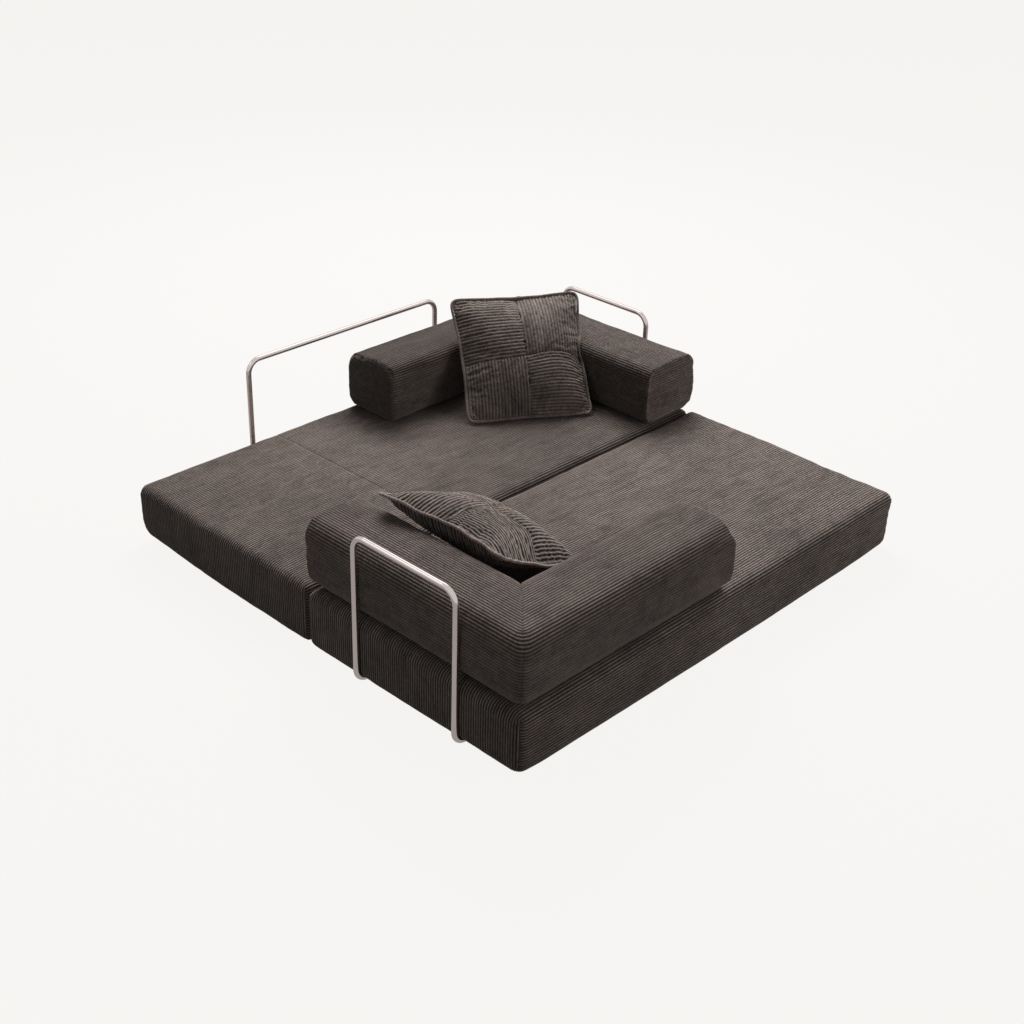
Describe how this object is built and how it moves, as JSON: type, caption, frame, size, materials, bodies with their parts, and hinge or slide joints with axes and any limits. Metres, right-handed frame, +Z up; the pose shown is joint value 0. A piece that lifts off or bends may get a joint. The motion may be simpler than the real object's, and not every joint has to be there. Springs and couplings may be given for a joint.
{
  "type": "corduroy sofa bed",
  "caption": "Sofa bed opened flat: two thick pads side by side, L-shaped corner bolsters, patchwork pillows and bent-tube rails round the edge.",
  "frame": {"origin": "on the floor under the middle of the bounding box", "axes": "+X along the pads, +Y from the front pad to the back pad, +Z up"},
  "size_m": [2.044, 1.957, 0.6398],
  "materials": {
    "corduroy": "matte",
    "piping": "matte",
    "foam": "matte",
    "base_cloth": "matte",
    "zip_tape": "matte",
    "rail_metal": "polished",
    "plug_plastic": "matte"
  },
  "bodies": {
    "back_pad": {"back_pad_base": "base_cloth", "back_pad_core": "foam", "back_pad_cover": "corduroy", "back_pad_topper": "foam", "back_pad_zip": "zip_tape", "hinge_strip": "base_cloth"},
    "front_pad": {"front_pad_base": "base_cloth", "front_pad_core": "foam", "front_pad_cover": "corduroy", "front_pad_topper": "foam", "front_pad_zip": "zip_tape"},
    "back_bolster": {"back_bolster_core": "foam", "back_bolster_cover": "corduroy", "back_bolster_long_end_panel": "corduroy", "back_bolster_short_end_panel": "corduroy", "back_bolster_zip": "zip_tape"},
    "front_bolster": {"front_bolster_core": "foam", "front_bolster_cover": "corduroy", "front_bolster_long_end_panel": "corduroy", "front_bolster_short_end_panel": "corduroy", "front_bolster_zip": "zip_tape"},
    "back_pillow": {"back_pillow_back_panel": "corduroy", "back_pillow_filling": "foam", "back_pillow_lower_left_square": "corduroy", "back_pillow_lower_right_square": "corduroy", "back_pillow_piping": "piping", "back_pillow_upper_left_square": "corduroy", "back_pillow_upper_right_square": "corduroy"},
    "front_pillow": {"front_pillow_back_panel": "corduroy", "front_pillow_filling": "foam", "front_pillow_lower_left_square": "corduroy", "front_pillow_lower_right_square": "corduroy", "front_pillow_piping": "piping", "front_pillow_upper_left_square": "corduroy", "front_pillow_upper_right_square": "corduroy"},
    "back_rail": {"back_rail_plugs": "plug_plastic", "back_rail_tube": "rail_metal"},
    "side_rail": {"side_rail_plugs": "plug_plastic", "side_rail_tube": "rail_metal"},
    "front_rail": {"front_rail_plugs": "plug_plastic", "front_rail_tube": "rail_metal"}
  },
  "joints": [
    {"name": "fold", "type": "hinge", "parent": "back_pad", "child": "front_pad", "pos_m": [0, -0.011, 0.243], "axis": [-1, 0, 0], "range_deg": [0, 85]},
    {"name": "front_bolster_lift", "type": "slide", "parent": "front_pad", "child": "front_bolster", "axis": [0, 0, 1], "range_m": [0, 0.25]},
    {"name": "back_bolster_lift", "type": "slide", "parent": "back_pad", "child": "back_bolster", "axis": [0, 0, 1], "range_m": [0, 0.25]},
    {"name": "front_pillow_lift", "type": "slide", "parent": "front_bolster", "child": "front_pillow", "axis": [0, 0, 1], "range_m": [0, 0.2]},
    {"name": "back_pillow_lift", "type": "slide", "parent": "back_bolster", "child": "back_pillow", "axis": [0, 0, 1], "range_m": [0, 0.2]},
    {"name": "front_rail_slide", "type": "slide", "parent": "front_pad", "child": "front_rail", "axis": [-1, 0, 0], "range_m": [0, 0.25]},
    {"name": "side_rail_slide", "type": "slide", "parent": "back_pad", "child": "side_rail", "axis": [1, 0, 0], "range_m": [0, 0.25]},
    {"name": "back_rail_slide", "type": "slide", "parent": "back_pad", "child": "back_rail", "axis": [0, 1, 0], "range_m": [0, 0.25]}
  ]
}
